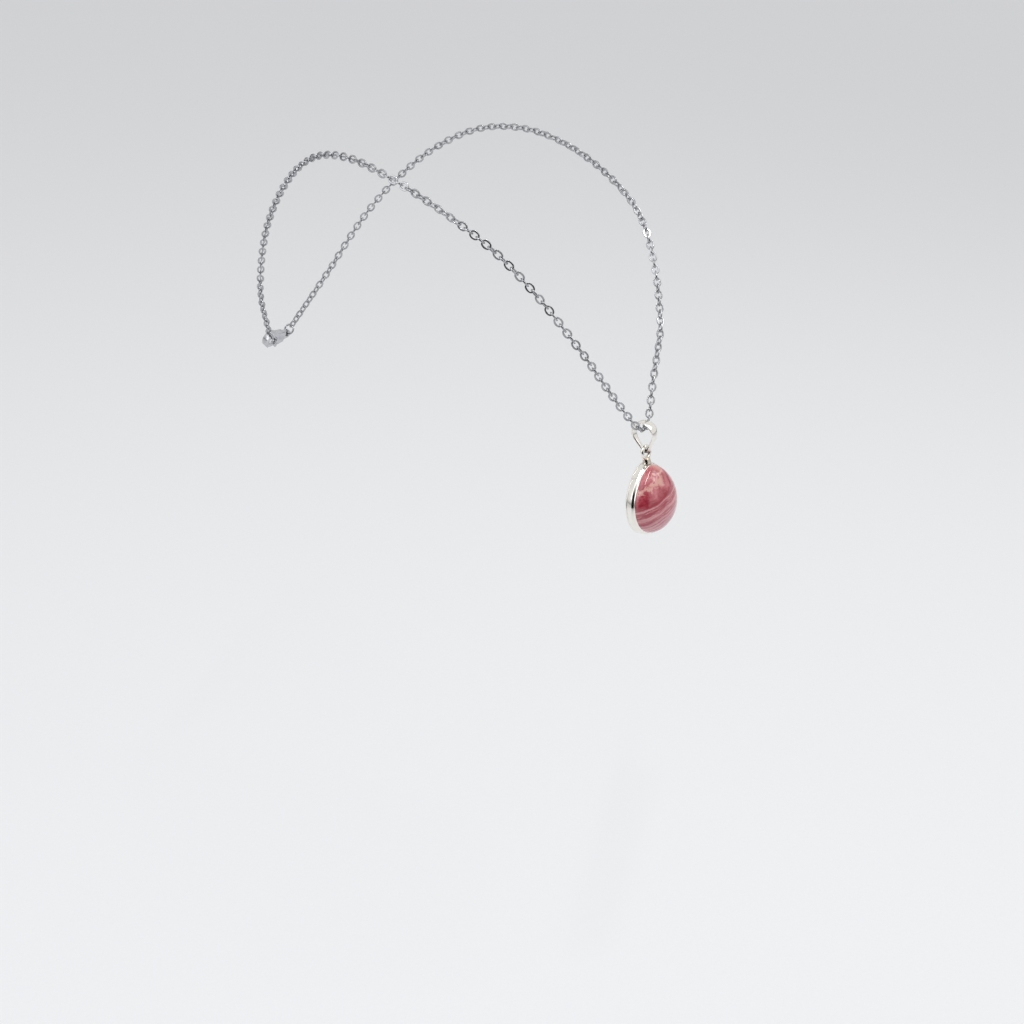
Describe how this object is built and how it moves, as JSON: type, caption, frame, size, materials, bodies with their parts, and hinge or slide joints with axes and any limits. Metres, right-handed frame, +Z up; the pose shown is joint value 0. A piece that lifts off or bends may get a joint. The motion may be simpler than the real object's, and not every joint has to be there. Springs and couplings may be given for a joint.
{
  "type": "pendant necklace",
  "caption": "Worn cable chain necklace with a teardrop bail, a domed pink stone pendant in a plain bezel setting and a lobster clasp behind the neck.",
  "frame": {"origin": "middle of the neck, level with the chain where it crosses the sides of the neck", "axes": "+Z up, -Y towards the wearer's front and the pendant, +X towards the wearer's left"},
  "size_m": [0.0704, 0.1388, 0.084],
  "materials": {
    "chain_steel": "polished stainless steel, flattened links",
    "clasp_steel": "polished",
    "silver": "polished silver with fine wear",
    "rhodochrosite": "polished banded pink and red stone"
  },
  "bodies": {
    "neck": {"chain_neck_left": "chain_steel", "chain_neck_right": "chain_steel"},
    "upper": {"chain_upper_left": "chain_steel", "chain_upper_right": "chain_steel"},
    "middle": {"chain_middle_left": "chain_steel", "chain_middle_right": "chain_steel"},
    "lower": {"chain_lower_left": "chain_steel", "chain_lower_right": "chain_steel"},
    "front": {"chain_front": "chain_steel"},
    "bail": {"bail": "silver"},
    "pendant": {"pendant_ring": "silver", "ring_foot": "silver", "bezel": "silver", "back_plate": "silver", "stone": "rhodochrosite"},
    "shoulder": {"chain_shoulder_left": "chain_steel", "chain_shoulder_right": "chain_steel"},
    "back": {"chain_back_left": "chain_steel", "chain_back_right": "chain_steel"},
    "tail": {"chain_tail_left": "chain_steel", "chain_tail_right": "chain_steel"},
    "clasp": {"chain_end_left": "chain_steel", "chain_end_right": "chain_steel", "clasp_jump_ring": "chain_steel", "catch_jump_ring": "chain_steel", "clasp_body": "clasp_steel", "clasp_pin": "clasp_steel", "clasp_spring": "clasp_steel"},
    "trigger": {"clasp_lever": "clasp_steel"}
  },
  "joints": [
    {"name": "upper_lift", "type": "hinge", "parent": "neck", "child": "upper", "pos_m": [0, -0.01703, -0.00142], "axis": [-1, 0, 0], "range_deg": [0, 20]},
    {"name": "middle_lift", "type": "hinge", "parent": "upper", "child": "middle", "pos_m": [0, -0.03932, -0.01027], "axis": [-1, 0, 0], "range_deg": [0, 20]},
    {"name": "lower_lift", "type": "hinge", "parent": "middle", "child": "lower", "pos_m": [0, -0.05722, -0.02854], "axis": [-1, 0, 0], "range_deg": [0, 20]},
    {"name": "front_lift", "type": "hinge", "parent": "lower", "child": "front", "pos_m": [0, -0.06794, -0.05137], "axis": [-1, 0, 0], "range_deg": [0, 20]},
    {"name": "bail_swing", "type": "hinge", "parent": "front", "child": "bail", "pos_m": [0, -0.0702, -0.056], "axis": [-1, 0, 0], "range_deg": [0, 60]},
    {"name": "pendant_swing", "type": "hinge", "parent": "bail", "child": "pendant", "pos_m": [0, -0.07146, -0.06146], "axis": [0, -0.9744, 0.225], "range_deg": [-15, 15]},
    {"name": "shoulder_lift", "type": "hinge", "parent": "neck", "child": "shoulder", "pos_m": [0, 0.00853, -0.0004], "axis": [1, 0, 0], "range_deg": [0, 20]},
    {"name": "back_lift", "type": "hinge", "parent": "shoulder", "child": "back", "pos_m": [0, 0.03084, -0.01486], "axis": [1, 0, 0], "range_deg": [0, 20]},
    {"name": "tail_lift", "type": "hinge", "parent": "back", "child": "tail", "pos_m": [0, 0.04432, -0.03397], "axis": [1, 0, 0], "range_deg": [0, 20]},
    {"name": "clasp_lift", "type": "hinge", "parent": "tail", "child": "clasp", "pos_m": [0, 0.05325, -0.05487], "axis": [1, 0, 0], "range_deg": [0, 20]},
    {"name": "clasp_trigger", "type": "hinge", "parent": "clasp", "child": "trigger", "pos_m": [-0.00097, 0.0576, -0.06735], "axis": [0, 0.9397, 0.342], "range_deg": [0, 20], "stiffness_Nm_per_rad": 0.002, "springref_deg": -11.46}
  ]
}
